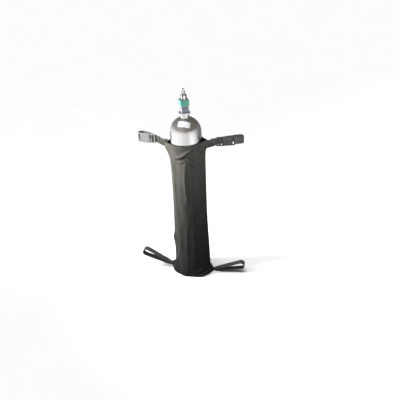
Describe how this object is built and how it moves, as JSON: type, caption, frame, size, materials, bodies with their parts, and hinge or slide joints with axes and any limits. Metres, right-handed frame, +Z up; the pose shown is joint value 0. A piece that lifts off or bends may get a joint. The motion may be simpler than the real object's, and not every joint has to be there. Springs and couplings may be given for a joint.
{
  "type": "oxygen cylinder in wheelchair carrier bag",
  "caption": "Slim aluminium oxygen cylinder with a post valve and tamper seal, standing in a soft carrier bag with strap loops and side-release buckles.",
  "frame": {"origin": "centre of the bag's flat base, under the cylinder's axis", "axes": "+Z up along the cylinder, -Y towards the front of the bag, +X to the front's right"},
  "size_m": [0.4066, 0.1188, 0.7435],
  "materials": {
    "cylinder_aluminium": "satin turned",
    "valve_chrome": "polished plate",
    "stainless": "fine turned",
    "brass_plug": "machined",
    "copper_disc": "plain",
    "nylon": "moulded",
    "rubber_seal": "smooth",
    "seal_plastic": "soft gloss, translucent",
    "label_paper": "blank coated label",
    "bag_cloth": "coated nylon weave",
    "binding": "folded nylon tape",
    "webbing": "flat nylon webbing",
    "buckle_plastic": "moulded acetal"
  },
  "bodies": {
    "bag": {"bag_front_panel": "bag_cloth", "bag_back_panel": "bag_cloth", "bag_base_panel": "bag_cloth", "front_rim_hem": "bag_cloth", "back_rim_hem": "bag_cloth", "left_seam_binding": "binding", "right_seam_binding": "binding", "upper_left_tab": "webbing", "upper_right_tab": "webbing", "upper_left_loop": "webbing", "upper_right_loop": "webbing", "lower_left_loop": "webbing", "lower_right_loop": "webbing", "left_buckle_male": "buckle_plastic", "right_buckle_male": "buckle_plastic", "left_buckle_female": "buckle_plastic", "right_buckle_female": "buckle_plastic"},
    "cylinder": {"cylinder_shell": "cylinder_aluminium", "shoulder_label": "label_paper", "neck_o_ring": "rubber_seal", "valve_body": "valve_chrome", "debris_tube": "stainless", "relief_plug": "valve_chrome", "burst_disc": "copper_disc", "relief_gasket": "rubber_seal", "packing_nut": "valve_chrome", "packing_washer": "nylon", "packing_gasket": "nylon"},
    "spindle": {"spindle": "stainless", "stem_collar": "stainless"},
    "seat_plug": {"seat_plug": "brass_plug", "seat_disc": "nylon"},
    "seal_band": {"seal_band": "seal_plastic"},
    "left_prong_top": {"left_buckle_prong_top": "buckle_plastic"},
    "left_prong_bottom": {"left_buckle_prong_bottom": "buckle_plastic"},
    "right_prong_top": {"right_buckle_prong_top": "buckle_plastic"},
    "right_prong_bottom": {"right_buckle_prong_bottom": "buckle_plastic"}
  },
  "joints": [
    {"name": "cylinder_lift", "type": "slide", "parent": "bag", "child": "cylinder", "axis": [0, 0, 1], "range_m": [0, 0.57]},
    {"name": "spindle_turn", "type": "hinge", "parent": "cylinder", "child": "spindle", "pos_m": [0, 0, 0.72], "axis": [0, 0, 1], "range_deg": [0, 450]},
    {"name": "seat_plug_travel", "type": "slide", "parent": "spindle", "child": "seat_plug", "axis": [0, 0, 1], "range_m": [0, 0.0024]},
    {"name": "seal_band_lift", "type": "slide", "parent": "cylinder", "child": "seal_band", "axis": [0, 0, 1], "range_m": [0, 0.075]},
    {"name": "left_prong_top_squeeze", "type": "hinge", "parent": "bag", "child": "left_prong_top", "pos_m": [-0.14105, 0.01494, 0.5631], "axis": [-0.2102, -0.9777, 0], "range_deg": [0, 7], "stiffness_Nm_per_rad": 0.8},
    {"name": "left_prong_bottom_squeeze", "type": "hinge", "parent": "bag", "child": "left_prong_bottom", "pos_m": [-0.14105, 0.01494, 0.5429], "axis": [-0.2102, -0.9777, 0], "range_deg": [-7, 0], "stiffness_Nm_per_rad": 0.8},
    {"name": "right_prong_top_squeeze", "type": "hinge", "parent": "bag", "child": "right_prong_top", "pos_m": [0.13162, 0.01529, 0.5591], "axis": [-0.2455, 0.9694, 0], "range_deg": [0, 7], "stiffness_Nm_per_rad": 0.8},
    {"name": "right_prong_bottom_squeeze", "type": "hinge", "parent": "bag", "child": "right_prong_bottom", "pos_m": [0.13162, 0.01529, 0.5389], "axis": [-0.2455, 0.9694, 0], "range_deg": [-7, 0], "stiffness_Nm_per_rad": 0.8}
  ],
  "couplings": [
    {"joint": "seat_plug_travel", "follows": "spindle_turn", "m_per_rad": 0.00028875},
    {"joint": "left_prong_bottom_squeeze", "follows": "left_prong_top_squeeze", "ratio": -1},
    {"joint": "right_prong_bottom_squeeze", "follows": "right_prong_top_squeeze", "ratio": -1}
  ]
}
